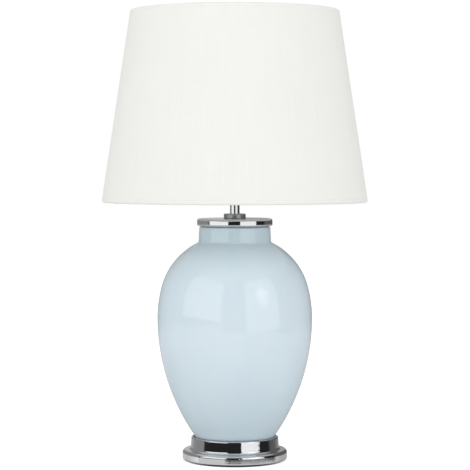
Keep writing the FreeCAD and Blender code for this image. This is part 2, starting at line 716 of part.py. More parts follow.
def make_switch():
    """Push bar through the lampholder, and the contact leaves on either side of it."""
    bar = turned("bar", [
        ("0", "-bar_short_end"),
        ("bar_radius - bar_round", "-bar_short_end"),
        ("bar_radius", "-bar_short_end + bar_round"),
        ("bar_radius", "bar_long_end - bar_round"),
        ("bar_radius - bar_round", "bar_long_end"),
        ("0", "bar_long_end"),
    ], {1: ("bar_round", 1), 3: ("bar_round", 1)})
    keep(place(bar, ("0", "0", "bar_height"), Rotation(UP, RIGHT)), "switch_push_bar")
    leaf_sides = ("leaf_width", "leaf_thick", "insert_bottom - leaf_bottom")
    leaves = [
        box_at(name, leaf_sides, ("-leaf_width / 2", near, "leaf_bottom"))
        for name, near in (("back_leaf", "leaf_offset"), ("front_leaf", "-leaf_offset - leaf_thick"))
    ]
    keep(group("leaves", leaves), "switch_contact_leaves")


def make_lead():
    """The lead's stretch inside the lamp: from the grommet, up the rod, to the two terminals."""
    inlet = Vector(0, size("lead_start"), size("lead_height"))
    turn = Vector(0, 0, size("lead_height"))
    top = Vector(0, 0, size("lead_end"))
    keep(swept("lead", [inlet, turn, top], "lead_radius", "lead_bend"), "inner_lead")
    for side, label in ((1, "live_core"), (-1, "neutral_core")):
        near = side * size("core_offset")
        far = side * size("terminal_offset")
        rise = size("core_bend")
        points = [
            Vector(0, near, size("lead_end")),
            Vector(0, near, size("lead_end") + rise),
            Vector(0, far, size("lead_end") + 2 * rise),
            Vector(0, far, size("insert_bottom - terminal_roof - core_gap")),
        ]
        keep(swept(label + "_run", points, "core_radius", "core_bend"), label)


# ---- lamp ----

def make_lamp():
    """Opal lamp with a screw cap: end contact, insulator, cap, moulded collar, board and globe."""
    tip_top = "lamp_tip + tip_thick"
    tip = turned("tip", [
        ("0", "lamp_tip"),
        ("tip_radius - tip_thick", "lamp_tip"),
        ("tip_radius", tip_top),
        ("0", tip_top),
    ], {1: ("tip_thick", 1)})
    keep(tip, "lamp_end_contact")
    insulator = turned("insulator", [
        ("0", tip_top),
        ("tip_radius + tip_thick", tip_top),
        ("insulator_radius", "insulator_top"),
        ("0", "insulator_top"),
    ])
    keep(insulator, "lamp_insulator")
    wave = [
        (f"lamp_cap_crest - lamp_cap_depth * {(step + 1) % 2}", f"insulator_top + shell_pitch * {step} / 2")
        for step in range(LAMP_CAP_STEPS + 1)
    ]
    wave.append((wave[-1][0], "lamp_cap_top"))
    screw_cap = turned("lamp_cap", [
        *wave,
        *[(across + " - lamp_cap_thick", up) for across, up in wave[::-1]],
    ])
    keep(screw_cap, "lamp_screw_cap")
    housing_bore = "lamp_cap_crest - lamp_cap_depth"
    housing = turned("housing", [
        (housing_bore, "lamp_cap_top - housing_grip"),
        ("housing_foot_radius", "lamp_cap_top - housing_grip"),
        ("housing_top_radius", "housing_top"),
        ("housing_top_radius - housing_wall", "housing_top"),
        ("housing_foot_radius - housing_wall", "lamp_cap_top"),
        (housing_bore, "lamp_cap_top"),
    ], {1: ("housing_flare", -1), 3: ("housing_flare", 1)})
    keep(housing, "lamp_collar")
    board_bottom = "housing_top - board_thick"
    keep(disc("board", "board_radius", board_bottom, "housing_top"), "lamp_board")
    drop = "sqrt(globe_radius^2 - housing_top_radius^2)"
    globe = turned("globe", [
        ("housing_top_radius", "housing_top"),
        ("0", f"housing_top + {drop} + globe_radius"),
        ("0", f"housing_top + {drop} + globe_radius - globe_wall"),
        (f"sqrt((globe_radius - globe_wall)^2 - {drop}^2)", "housing_top"),
    ], {0: ("globe_radius", 1), 2: ("globe_radius - globe_wall", -1)})
    keep(globe, "lamp_globe")


# ---- shade ----

WIRE_FOOT = ("(shade_foot_radius - roll_radius)", "(shade_bottom + roll_radius)")
WIRE_TOP = ("(shade_top_radius - roll_radius)", "(shade_top - roll_radius)")
SPOKE_RUN = "shade_foot_radius - roll_radius - spoke_inner_radius"
SPOKE_RISE = "seat_top + hub_gap + spoke_weld - wire_radius - shade_bottom - roll_radius"
SPOKE_LENGTH = f"sqrt(({SPOKE_RUN})^2 + ({SPOKE_RISE})^2)"
LEAN = f"atan(({WIRE_FOOT[0]} - {WIRE_TOP[0]}) / ({WIRE_TOP[1]} - {WIRE_FOOT[1]}))"


def off_wire(wire, outwards, along=None):
    """A point off a wire's centre: outwards across the wall's surface, and then up along it."""
    rise = along or "0"
    across = f"{wire[0]} + ({outwards}) * cos({LEAN}) - ({rise}) * sin({LEAN})"
    return across, f"{wire[1]} + ({outwards}) * sin({LEAN}) + ({rise}) * cos({LEAN})"


def make_shade_walls():
    """Cloth rolled over both wires and turned in, and the stiff film behind it."""
    inside = "roll_radius - fabric_thick"
    behind = f"{inside} - layer_gap"
    film_back = f"{behind} - liner_thick"
    hem_face = f"{film_back} - layer_gap"
    hem_back = f"{hem_face} - fabric_thick"
    cloth = turned("cloth", [
        off_wire(WIRE_FOOT, "roll_radius"),
        off_wire(WIRE_TOP, "roll_radius"),
        (WIRE_TOP[0] + " - roll_radius", WIRE_TOP[1]),
        off_wire(WIRE_TOP, hem_back, "-hem_length"),
        off_wire(WIRE_TOP, hem_face, "-hem_length"),
        (f"{WIRE_TOP[0]} - ({inside})", WIRE_TOP[1]),
        off_wire(WIRE_TOP, inside),
        off_wire(WIRE_FOOT, inside),
        (WIRE_FOOT[0], f"{WIRE_FOOT[1]} - ({inside})"),
        (f"{WIRE_FOOT[0]} - ({inside})", WIRE_FOOT[1]),
        off_wire(WIRE_FOOT, hem_face, "hem_length"),
        off_wire(WIRE_FOOT, hem_back, "hem_length"),
        (WIRE_FOOT[0] + " - roll_radius", WIRE_FOOT[1]),
        (WIRE_FOOT[0], WIRE_FOOT[1] + " - roll_radius"),
    ], {
        1: ("roll_radius", 1),
        5: ("roll_radius - fabric_thick", -1),
        7: ("roll_radius - fabric_thick", -1),
        8: ("roll_radius - fabric_thick", -1),
        12: ("roll_radius", 1),
        13: ("roll_radius", 1),
    })
    slots = [spoke_bar(f"slot{n}", n, "slot_radius", "slot_length", "slot_start") for n in range(SPOKES)]
    keep(cut("slotted_cloth", cloth, *slots), "shade_fabric")
    film = turned("film", [
        off_wire(WIRE_FOOT, film_back, "liner_start"),
        off_wire(WIRE_FOOT, behind, "liner_start"),
        off_wire(WIRE_TOP, behind, "-liner_start"),
        off_wire(WIRE_TOP, film_back, "-liner_start"),
    ])
    keep(film, "shade_liner")


def spoke_bar(name, number, radius, length, start):
    """A bar on a spoke's line, which runs from the lower wire's centre in to the fitter plate."""
    turn = FIRST_SPOKE + number * 360 / SPOKES
    out = f"({WIRE_FOOT[0]} - {start} * ({SPOKE_RUN}) / {SPOKE_LENGTH})"
    up = f"{WIRE_FOOT[1]} + {start} * ({SPOKE_RISE}) / {SPOKE_LENGTH}"
    inwards = Vector(-size(SPOKE_RUN), 0, size(SPOKE_RISE))
    direction = Rotation(UP, turn).multVec(inwards)
    return rod_along(name, radius, length, (f"{out} * cos({turn})", f"{out} * sin({turn})", up), direction)


def make_shade_frame():
    """Two wire rings, three spokes and the fitter plate."""
    keep(wire_ring("lower_wire", *WIRE_FOOT), "shade_bottom_wire")
    keep(wire_ring("upper_wire", *WIRE_TOP), "shade_top_wire")
    spokes = [spoke_bar(f"spoke{n}", n, "wire_radius", SPOKE_LENGTH, "0") for n in range(SPOKES)]
    keep(group("spokes", spokes), "shade_spokes")
    plate = turned_ring(
        "hub", "hub_inner_radius", "hub_outer_radius", "seat_top + hub_gap", "seat_top + hub_gap + hub_thick")
    keep(plate, "fitter_plate")


def make_clamp_ring():
    """Ring that screws down the skirt onto the fitter plate, with grip ribs round its sleeve."""
    foot = "seat_top + hub_thick + hub_gap * 2"
    shoulder = foot + " + ring_flange_thick"
    ring = turned("clamp", [
        ("ring_bore_radius", foot),
        ("ring_flange_radius", foot),
        ("ring_flange_radius", shoulder),
        ("ring_sleeve_radius", shoulder),
        ("ring_sleeve_radius", foot + " + ring_tall"),
        ("ring_bore_radius", foot + " + ring_tall"),
    ])
    sketch = sketch_on(ring, "XY_Plane", "rib_section")
    sketch.setExpression("AttachmentOffset.Base.z", bound(shoulder))
    section = sketch.addGeometry(
        Part.Circle(Vector(size("ring_sleeve_radius"), 0, 0), Vector(0, 0, 1), size("rib_radius")), False)
    sketch.addConstraint(Sketcher.Constraint("PointOnObject", section, 3, -1))
    out = Sketcher.Constraint("DistanceX", -1, 1, section, 3, size("ring_sleeve_radius"))
    sketch.setExpression(f"Constraints[{sketch.addConstraint(out)}]", bound("ring_sleeve_radius"))
    width = Sketcher.Constraint("Radius", section, size("rib_radius"))
    sketch.setExpression(f"Constraints[{sketch.addConstraint(width)}]", bound("rib_radius"))
    rib = ring.newObject("PartDesign::Pad", "rib")
    rib.Profile = sketch
    rib.setExpression("Length", bound("ring_tall - ring_flange_thick"))
    doc.recompute()
    ribs = ring.newObject("PartDesign::PolarPattern", "ribs")
    ribs.Originals = [rib]
    ribs.Axis = (sketch, ["N_Axis"])
    ribs.Angle = 360
    ribs.setExpression("Occurrences", bound("rib_count"))
    ring.Tip = ribs
    doc.recompute()
    keep(ring, "shade_clamp_ring")


# ---- the lamp as a whole ----

def check_and_write():
    """Stops on any failed object or unsound shape, then writes one STEP file per sub-part."""
    doc.recompute()
    for item in doc.Objects:
        if "Invalid" in item.State or "Error" in item.State:
            raise RuntimeError(f"{item.Name} failed: {item.State}")
    for piece in nodes:
        if piece.Shape.isNull() or not piece.Shape.isValid() or piece.Shape.Volume <= 0:
            raise RuntimeError(f"{piece.Label} has no sound shape")
    os.makedirs("parts", exist_ok=True)
    for piece in nodes:
        piece.Shape.exportStep(os.path.join("parts", piece.Label + ".step"))
    print(f"{len(nodes)} sub-parts, {sum(len(piece.Shape.Solids) for piece in nodes)} solids")


make_plinth()
make_grommet()
make_rod()
make_jar()
make_cap()
make_dome()
make_skirt()
make_insert()
make_terminals()
make_switch()
make_lead()
make_lamp()
make_shade_walls()
make_shade_frame()
make_clamp_ring()
check_and_write()
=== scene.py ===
"""The looks of a table lamp: a linen drum shade on a wire frame, a glazed jar and chrome fittings.

Metres, in the frame's own axes: +Z up, the front faces -Y, and the origin is on the table under the lamp.
"""
import json
import math

import bmesh
import bpy
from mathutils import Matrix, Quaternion, Vector, noise


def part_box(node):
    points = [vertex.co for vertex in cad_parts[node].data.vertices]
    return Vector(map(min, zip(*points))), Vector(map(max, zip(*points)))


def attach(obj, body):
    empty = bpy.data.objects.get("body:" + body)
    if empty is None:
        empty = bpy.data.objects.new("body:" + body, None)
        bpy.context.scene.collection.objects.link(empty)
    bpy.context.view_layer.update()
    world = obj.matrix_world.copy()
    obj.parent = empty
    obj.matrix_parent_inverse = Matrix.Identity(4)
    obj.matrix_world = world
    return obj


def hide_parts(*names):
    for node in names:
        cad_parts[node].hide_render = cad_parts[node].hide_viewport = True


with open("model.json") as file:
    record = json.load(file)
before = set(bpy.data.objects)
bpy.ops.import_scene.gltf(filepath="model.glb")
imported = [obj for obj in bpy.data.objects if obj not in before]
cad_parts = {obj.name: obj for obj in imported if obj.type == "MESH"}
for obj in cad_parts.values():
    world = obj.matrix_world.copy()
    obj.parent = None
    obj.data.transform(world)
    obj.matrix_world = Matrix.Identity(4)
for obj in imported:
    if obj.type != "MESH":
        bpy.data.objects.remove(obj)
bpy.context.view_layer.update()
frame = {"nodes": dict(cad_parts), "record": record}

MM = 0.001
NODES = frame["nodes"]
WHITE = (1.0, 1.0, 1.0, 1.0)


# ---- sizes ----

class Wire:
    """A ring of the shade, read from its CAD node: its circle's radius and height."""

    def __init__(self, node):
        low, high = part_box(node)
        half_thickness = (high.z - low.z) / 2
        self.radius = high.x - half_thickness
        self.height = (high.z + low.z) / 2


JAR_LOW, JAR_HIGH = (corner.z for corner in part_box("jar"))

# The shade's rings, how far its wall leans in from the upright, and its length up the slant.
FOOT_WIRE = Wire("shade_bottom_wire")
TOP_WIRE = Wire("shade_top_wire")
LEAN = math.atan2(FOOT_WIRE.radius - TOP_WIRE.radius, TOP_WIRE.height - FOOT_WIRE.height)
SLANT = math.hypot(FOOT_WIRE.radius - TOP_WIRE.radius, TOP_WIRE.height - FOOT_WIRE.height)

# The linen's outer face goes round each wire at the radius ROLL. It ends in a hem on the film's inner side,
# and the hem's own face is HEM_FACE out from the line between the wires.
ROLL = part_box("shade_fabric")[1].x - FOOT_WIRE.radius
CLOTH = 0.6 * MM
FILM = 0.5 * MM
LAYER_GAP = 0.03 * MM
HEM = 11.0 * MM
HEM_FACE = ROLL - 2 * CLOTH - FILM - 2 * LAYER_GAP
HEM_RAGGED, HEM_RAGGED_SCALE = 0.5 * MM, 40.0
HEM_POINTS = 22

# The weave: a thread's pitch, and an even number of threads round the shade.
THREAD_PITCH = 0.55 * MM
CLOTH_THREADS = 2 * round(math.pi * (FOOT_WIRE.radius + TOP_WIRE.radius) / 2 / THREAD_PITCH)

# The lower hem is slotted for the three spokes. Each slot's sides slope between two shares of its half width,
# and its columns of points are a quarter of that width apart.
SPOKE_ANGLES = [math.radians(a) for a in (90.0, 210.0, 330.0)]
SLOT_HALF = 2.0 * MM
SLOT_CLEARANCE = 0.3 * MM
SLOT_SIDE = (0.8, 1.2)
SLOT_COLUMNS = range(-7, 8)

# The lap seam at the back: a cut edge on one side and an easy slope on the other. Each has columns of points
# of its own, SEAM_STEP apart.
SEAM_ANGLE = math.radians(104.0)
SEAM_LAP = 12.0 * MM
SEAM_STEP = 0.3 * MM
SEAM_EDGE = 0.35 * MM
SEAM_EDGE_COLUMNS = range(-2, 4)
SEAM_SLOPE = (-1.2 * MM, 1.0 * MM)
SEAM_SLOPE_COLUMNS = range(-6, 6)

# A crease shows through the linen beside each wire.
CREASE = 2.9 * MM
CREASE_DEPTH = 0.35 * MM
CREASE_HALF = 0.5 * MM
CREASE_ROWS = (-0.9 * MM, -0.5 * MM, 0.0, 0.5 * MM, 0.9 * MM)

# The cloth's net, and how it ripples: features to a metre, and their height. Its inner face lies at a share
# of its thickness, clear of the film.
CLOTH_COLUMNS = 360
WALL_ROW_COUNT = 26
CLOTH_RIPPLES = ((18.0, 0.10 * MM), (90.0, 0.04 * MM))
CLOTH_BACK = 0.97

# The felt's net: shares of its radius, with the share of its thickness that the worn edge has lost there.
FELT_COLUMNS = 240
FELT_RINGS = ((0.0, 0.0), (0.3, 0.0), (0.6, 0.0), (0.85, 0.0), (0.97, 0.03), (0.99, 0.12), (0.997, 0.3))
FELT_RAGGED, FELT_RAGGED_SCALE = 0.35 * MM, 35.0


# ---- materials: each is one Principled shader with procedural inputs ----

GLAZE_THIN = (0.672, 0.765, 0.832)
GLAZE_DEEP_AND_SHADED = (0.56, 0.715, 0.775)
GLAZE_FOOT_SHADOW_COLOUR = (0.10, 0.12, 0.125)

# Where the glaze deepens and is darkened as painted shade, up from the jar's foot and down from its rim, and
# where a dark band of painted shadow lies just above the foot.
GLAZE_FOOT = 0.16
GLAZE_THROAT = (0.065, 0.028)
GLAZE_FOOT_SHADOW_BAND = (1.6 * MM, 3.6 * MM)

# Most of a noise node's values lie between these.
NOISE_LOW, NOISE_HIGH = 0.3, 0.7

# The places of a Mix node's colour sockets.
MIX_SHARE, MIX_FIRST, MIX_SECOND, MIX_RESULT = 0, 6, 7, 2


def rgba(colour):
    """A colour with its alpha."""
    return (*colour, 1.0)


class NodeTree:
    """A node tree under construction, with the coordinates that its patterns use."""

    def __init__(self, tree, coordinates):
        self.tree = tree
        self.place = self.add("ShaderNodeTexCoord").outputs[coordinates]

    def add(self, kind, **settings):
        """A new node. Each setting is an attribute of it, or a socket to set or link."""
        node = self.tree.nodes.new(kind)
        for name, value in settings.items():
            if hasattr(node, name):
                setattr(node, name, value)
        for name, value in settings.items():
            socket = node.inputs.get(name)
            if socket is not None and not hasattr(node, name):
                self.feed(socket, value)
        return node

    def feed(self, socket, value):
        """Links a socket to another's output, or sets it."""
        if isinstance(value, bpy.types.NodeSocket):
            self.tree.links.new(value, socket)
        else:
            socket.default_value = value

    def math(self, operation, *values):
        """The result of a Math node."""
        node = self.tree.nodes.new("ShaderNodeMath")
        node.operation = operation
        for socket, value in zip(node.inputs, values):
            self.feed(socket, value)
        return node.outputs[0]

    def plus(self, first, *others):
        """A sum."""
        for value in others:
            first = self.math("ADD", first, value)
        return first

    def times(self, first, *others):
        """A product."""
        for value in others:
            first = self.math("MULTIPLY", first, value)
        return first

    def vector(self, x, y, z):
        """Three values as a vector."""
        return self.add("ShaderNodeCombineXYZ", X=x, Y=y, Z=z).outputs[0]

    def noise(self, scale, detail=3.0, roughness=0.5, where=None, stretch=None):
        """Noise with so many features to a metre, stretched by a factor along each axis."""
        vector = where or self.place
        if stretch:
            vector = self.add("ShaderNodeMapping", Vector=vector, Scale=stretch).outputs[0]
        node = self.add("ShaderNodeTexNoise", Vector=vector, Scale=scale, Detail=detail, Roughness=roughness)
        return node.outputs["Fac"]

    def remap(self, value, low, high, to_low, to_high, smooth=False):
        """A value's range taken to another range, with the ends held."""
        node = self.add("ShaderNodeMapRange", interpolation_type="SMOOTHSTEP" if smooth else "LINEAR")
        for index, number in enumerate((value, low, high, to_low, to_high)):
            self.feed(node.inputs[index], number)
        return node.outputs[0]

    def swing(self, pattern, to_low, to_high):
        """A noise pattern taken to a range."""
        return self.remap(pattern, NOISE_LOW, NOISE_HIGH, to_low, to_high)

    def blend(self, share, first, second):
        """A colour between two, by a share."""
        node = self.add("ShaderNodeMix", data_type="RGBA")
        self.feed(node.inputs[MIX_SHARE], share)
        for index, colour in ((MIX_FIRST, first), (MIX_SECOND, second)):
            linked = isinstance(colour, bpy.types.NodeSocket)
            self.feed(node.inputs[index], colour if linked else rgba(colour))
        return node.outputs[MIX_RESULT]


class Finish(NodeTree):
    """A material under construction. Constants of its shader are given by name, with _ for a space."""

    def __init__(self, name, **constants):
        self.material = bpy.data.materials.new(name)
        self.material.use_nodes = True
        super().__init__(self.material.node_tree, "Object")
        self.shader = self.tree.nodes["Principled BSDF"]
        for socket, value in constants.items():
            self.set(socket.replace("_", " "), value)

    def set(self, socket, value):
        """Feeds one of the shader's own sockets."""
        self.feed(self.shader.inputs[socket], value)

    def round_axis(self):
        """Angle about Z in turns, distance from Z, and height."""
        x, y, height = self.add("ShaderNodeSeparateXYZ", Vector=self.place).outputs
        turn = self.math("DIVIDE", self.math("ARCTAN2", y, x), 2 * math.pi)
        distance = self.math("SQRT", self.plus(self.times(x, x), self.times(y, y)))
        return turn, distance, height

    def lathe(self, around, along):
        """Coordinates that draw marks round Z: features to a turn, and to a metre across the marks."""
        turn, distance, height = self.round_axis()
        return self.vector(self.times(turn, around), self.times(distance, along), self.times(height, along))

    def bump(self, height, depth, strength):
        """Relief of a depth in metres. Several are laid over each other in turn."""
        node = self.add("ShaderNodeBump", Strength=strength, Distance=depth, Height=height)
        earlier = self.shader.inputs["Normal"].links
        if earlier:
            self.feed(node.inputs["Normal"], earlier[0].from_socket)
        self.set("Normal", node.outputs[0])

    def worn(self, colour, drift, roughness, scale):
        """Colour and roughness that drift a little over the surface."""
        tone = self.noise(scale, 5.0, 0.6)
        dark = [c * (1 - drift) for c in colour]
        light = [min(1.0, c * (1 + drift)) for c in colour]
        self.set("Base Color", self.blend(self.swing(tone, 0, 1), dark, light))
        patch = self.noise(scale * 2.7, 4.0, 0.55)
        self.set("Roughness", self.swing(patch, *roughness))


def linen():
    """Plain-woven cloth with vertical slubs, and painted shade in the weave's hollows."""
    finish = Finish("shade_linen", Roughness=0.85, Sheen_Weight=0.25, Sheen_Roughness=0.4,
                    Specular_IOR_Level=0.25)
    turn, _, height = finish.round_axis()
    across = finish.times(turn, CLOTH_THREADS)
    up = finish.times(height, 1 / THREAD_PITCH)
    over = finish.math("SINE", finish.times(up, math.pi))
    thread = finish.math("FLOOR", finish.plus(across, CLOTH_THREADS))
    odd = finish.math("SUBTRACT", finish.times(finish.math("MODULO", thread, 2.0), 2.0), 1.0)
    lift = finish.times(over, odd)
    warp_crown = finish.math("ABSOLUTE", finish.math("SINE", finish.times(across, math.pi)))
    weft_crown = finish.math("ABSOLUTE", over)
    warp = finish.times(warp_crown, finish.remap(lift, -1, 1, 0.35, 1))
    weft = finish.times(weft_crown, finish.remap(lift, -1, 1, 0.8, 0.25))
    weave = finish.math("MAXIMUM", warp, weft)
    around = finish.vector(finish.times(turn, CLOTH_THREADS * 0.3), 0.0, height)
    slub = finish.noise(1.0, 3.0, 0.6, around, (1.0, 1.0, 14.0))
    rows = finish.vector(finish.times(turn, 24.0), 0.0, finish.times(up, 0.3))
    thick_row = finish.noise(1.0, 2.0, 0.6, rows)
    cloud = finish.noise(16.0, 3.0)
    # The hollows between thread crowns are coloured darker: painted shade in the weave.
    tone = finish.plus(finish.swing(slub, -0.5, 0.5), finish.swing(thick_row, -0.25, 0.25),
                       finish.swing(cloud, -0.25, 0.25), finish.remap(weave, 0.0, 1.0, -0.6, 0.3))
    share = finish.remap(tone, -1.5, 1.5, 0, 1)
    finish.set("Base Color", finish.blend(share, (0.80, 0.80, 0.765), (0.87, 0.87, 0.84)))
    finish.bump(weave, 0.00012, 0.5)
    finish.bump(slub, 0.0002, 0.35)
    return finish.material


def film():
    """Translucent stiff film, faintly rippled."""
    finish = Finish("liner_film", Subsurface_Weight=0.2, Subsurface_Scale=0.002, Subsurface_Radius=(1, 1, 1))
    finish.worn((0.90, 0.90, 0.88), 0.015, (0.32, 0.46), 30.0)
    turn, _, height = finish.round_axis()
    around = finish.vector(finish.times(turn, 60.0), 0.0, height)
    finish.bump(finish.noise(1.0, 2.0, 0.5, around, (1.0, 1.0, 3.0)), 0.0004, 0.3)
    return finish.material


def powder_coat():
    """White stoved paint with a fine orange peel."""
    finish = Finish("white_powder_coat", Coat_Weight=0.15, Coat_Roughness=0.25)
    finish.worn((0.84, 0.84, 0.82), 0.02, (0.30, 0.42), 60.0)
    finish.bump(finish.noise(1400.0, 2.0), 0.00004, 0.5)
    return finish.material


def glaze():
    """Pale grey-blue glaze: thin over the belly, deeper and darker at the foot and neck as glaze tone and
    painted shade, and a band of painted shadow just above the foot.
    """
    finish = Finish("jar_glaze", IOR=1.58)
    _, _, height = finish.round_axis()
    cloud = finish.noise(7.0, 4.0, 0.5)
    runs = finish.noise(26.0, 3.0, 0.55, stretch=(1.0, 1.0, 0.25))
    # The foot and the neck are darkened: partly a deeper glaze tone, partly painted shade where the jar turns
    # under and below the cap.
    foot = finish.remap(height, JAR_LOW, JAR_LOW + GLAZE_FOOT, 1.0, 0.0, smooth=True)
    throat = finish.remap(height, *(JAR_HIGH - depth for depth in GLAZE_THROAT), 0.0, 1.0, smooth=True)
    depth = finish.plus(finish.times(foot, 0.25), finish.times(throat, 0.42),
                        finish.swing(cloud, -0.16, 0.16), finish.swing(runs, -0.10, 0.10))
    glazed = finish.blend(finish.remap(depth, -0.2, 1.0, 0, 1), GLAZE_THIN, GLAZE_DEEP_AND_SHADED)
    # A dark band just above the foot: painted shadow in the gap between the jar and the plinth's rim.
    foot_shadow = finish.remap(height, *(JAR_LOW + rise for rise in GLAZE_FOOT_SHADOW_BAND), 1, 0, smooth=True)
    finish.set("Base Color", finish.blend(foot_shadow, glazed, GLAZE_FOOT_SHADOW_COLOUR))
    finish.set("Roughness", finish.swing(finish.noise(45.0, 4.0), 0.02, 0.045))
    finish.bump(finish.noise(55.0, 2.0, 0.4), 0.00035, 0.25)
    finish.bump(finish.noise(420.0, 2.0, 0.5), 0.00003, 0.35)
    return finish.material


def chrome():
    """Polished plate over spun sheet: faint rings and a haze of handling."""
    finish = Finish("polished_chrome", Metallic=1.0)
    haze = finish.noise(38.0, 5.0, 0.6)
    finish.set("Base Color", finish.blend(haze, (0.70, 0.71, 0.72), (0.79, 0.80, 0.81)))
    finish.set("Roughness", finish.remap(haze, 0.35, 0.75, 0.03, 0.085))
    finish.bump(finish.noise(1.0, 3.0, 0.6, finish.lathe(3.0, 500.0)), 0.00002, 0.25)
    return finish.material


def satin_chrome():
    """The same plate over a turned and brushed nut."""
    finish = Finish("brushed_chrome", Metallic=1.0)
    haze = finish.noise(60.0, 5.0, 0.6)
    finish.set("Base Color", finish.blend(haze, (0.36, 0.36, 0.36), (0.46, 0.46, 0.46)))
    finish.set("Roughness", finish.remap(haze, 0.35, 0.75, 0.34, 0.46))
    finish.bump(finish.noise(1.0, 3.0, 0.6, finish.lathe(40.0, 1500.0)), 0.00004, 0.4)
    return finish.material


def zinc():
    """Zinc-plated steel with a dull spangle."""
    finish = Finish("zinc_plate", Metallic=1.0)
    finish.worn((0.60, 0.60, 0.57), 0.08, (0.28, 0.45), 160.0)
    finish.bump(finish.noise(900.0, 3.0), 0.00003, 0.4)
    return finish.material


def moulding(name, colour, roughness, grain):
    """Moulded plastic: flow marks and a fine skin."""
    finish = Finish(name, IOR=1.49)
    finish.worn(colour, 0.02, roughness, 70.0)
    finish.bump(finish.noise(grain, 3.0), 0.00003, 0.5)
    return finish.material


def steatite():
    """Unglazed insulating ceramic."""
    finish = Finish("bare_ceramic")
    finish.worn((0.82, 0.80, 0.75), 0.05, (0.55, 0.75), 240.0)
    finish.bump(finish.noise(1800.0, 4.0, 0.65), 0.00006, 0.6)
    return finish.material


def brass():
    """Bright contact brass, a little tarnished."""
    finish = Finish("contact_brass", Metallic=1.0)
    stain = finish.noise(120.0, 5.0, 0.6)
    share = finish.remap(stain, 0.4, 0.7, 0, 1)
    finish.set("Base Color", finish.blend(share, (0.80, 0.62, 0.30), (0.55, 0.38, 0.17)))
    finish.set("Roughness", finish.swing(stain, 0.18, 0.38))
    finish.bump(finish.noise(1500.0, 2.0), 0.00002, 0.4)
    return finish.material


def rubber(name, colour):
    """Moulded rubber, matt and faintly dusty."""
    finish = Finish(name)
    finish.worn(colour, 0.12, (0.55, 0.75), 110.0)
    finish.bump(finish.noise(1600.0, 3.0), 0.00005, 0.5)
    return finish.material


def felt():
    """Matted wool."""
    finish = Finish("wool_felt", Roughness=0.95, Sheen_Weight=0.6, Sheen_Roughness=0.5)
    fibre = finish.noise(900.0, 6.0, 0.75)
    tuft = finish.noise(120.0, 4.0, 0.6)
    share = finish.times(fibre, finish.remap(tuft, 0.2, 0.8, 0.6, 1.4))
    finish.set("Base Color", finish.blend(share, (0.012, 0.016, 0.015), (0.075, 0.085, 0.08)))
    finish.bump(fibre, 0.0005, 0.8)
    finish.bump(tuft, 0.0006, 0.5)
    return finish.material


def fibreboard():
    """Pressed board with flecks of fibre."""
    finish = Finish("pressed_board")
    fleck = finish.noise(500.0, 5.0, 0.7, stretch=(1.0, 0.3, 1.0))
    finish.set("Base Color", finish.blend(fleck, (0.10, 0.06, 0.035), (0.24, 0.16, 0.095)))
    finish.set("Roughness", finish.swing(fleck, 0.7, 0.9))
    finish.bump(fleck, 0.00015, 0.5)
    return finish.material


def foam():
    """Closed-cell foam, coloured dark grey as painted shadow in the gaps under the cap and the jar."""
    finish = Finish("foam_painted_shadow_grey")
    cells = finish.add("ShaderNodeTexVoronoi", Vector=finish.place, Scale=1400.0).outputs["Distance"]
    finish.set("Base Color", finish.blend(cells, (0.30, 0.30, 0.29), (0.14, 0.14, 0.135)))
    finish.set("Roughness", finish.remap(cells, 0.0, 0.6, 0.6, 0.9))
    finish.bump(cells, 0.0002, 0.7)
    return finish.material


def opal():
    """Opal globe with a satin skin."""
    finish = Finish("opal_globe", IOR=1.46, Subsurface_Weight=0.35, Subsurface_Scale=0.006,
                    Subsurface_Radius=(1, 1, 1))
    finish.worn((0.90, 0.90, 0.88), 0.01, (0.22, 0.32), 30.0)
    finish.bump(finish.noise(700.0, 2.0), 0.00002, 0.4)
    return finish.material


def black_glass():
    """Fused insulator glass."""
    finish = Finish("insulator_glass", IOR=1.5)
    finish.worn((0.012, 0.012, 0.016), 0.3, (0.05, 0.16), 120.0)
    finish.bump(finish.noise(240.0, 2.0), 0.0001, 0.3)
    return finish.material


def nickel():
    """Rolled nickel-plated screw cap."""
    finish = Finish("nickel_cap", Metallic=1.0)
    finish.worn((0.74, 0.72, 0.68), 0.05, (0.16, 0.3), 130.0)
    turn, _, height = finish.round_axis()
    lines = finish.vector(finish.times(turn, 4.0), 0.0, finish.times(height, 2500.0))
    finish.bump(finish.noise(1.0, 2.0, 0.5, lines), 0.00002, 0.4)
    return finish.material


# ---- mesh helpers ----

def new_piece(name, bm, material, smooth_angle):
    """An object from a bmesh, with smooth faces that break at sharp edges."""
    bmesh.ops.recalc_face_normals(bm, faces=bm.faces)
    mesh = bpy.data.meshes.new(name)
    bm.to_mesh(mesh)
    bm.free()
    mesh.polygons.foreach_set("use_smooth", [True] * len(mesh.polygons))
    mesh.set_sharp_from_angle(angle=math.radians(smooth_angle))
    piece = bpy.data.objects.new(name, mesh)
    bpy.context.scene.collection.objects.link(piece)
    mesh.materials.append(material)
    return piece


def grid_solid(outer, inner):
    """A closed solid between two nets of points that close in the first direction and not in the second."""
    bm = bmesh.new()
    nets = [[[bm.verts.new(p) for p in column] for column in net] for net in (outer, inner)]
    columns, rows = len(outer), len(outer[0])
    for i in range(columns):
        j = (i + 1) % columns
        for k in range(rows - 1):
            for net in nets:
                bm.faces.new((net[i][k], net[j][k], net[j][k + 1], net[i][k + 1]))
        for k in (0, rows - 1):
            bm.faces.new((nets[0][i][k], nets[0][j][k], nets[1][j][k], nets[1][i][k]))
    return bm


def spread(start, stop, count):
    """Evenly spaced numbers, both ends included."""
    return [start + (stop - start) * i / (count - 1) for i in range(count)]


def smooth_step(x, low, high):
    """0 below low, 1 above high, and smooth between."""
    t = min(1.0, max(0.0, (x - low) / (high - low)))
    return t * t * (3 - 2 * t)


def outwards(angle):
    """The level direction away from the lamp's axis at an angle."""
    return Vector((math.cos(angle), math.sin(angle), 0.0))


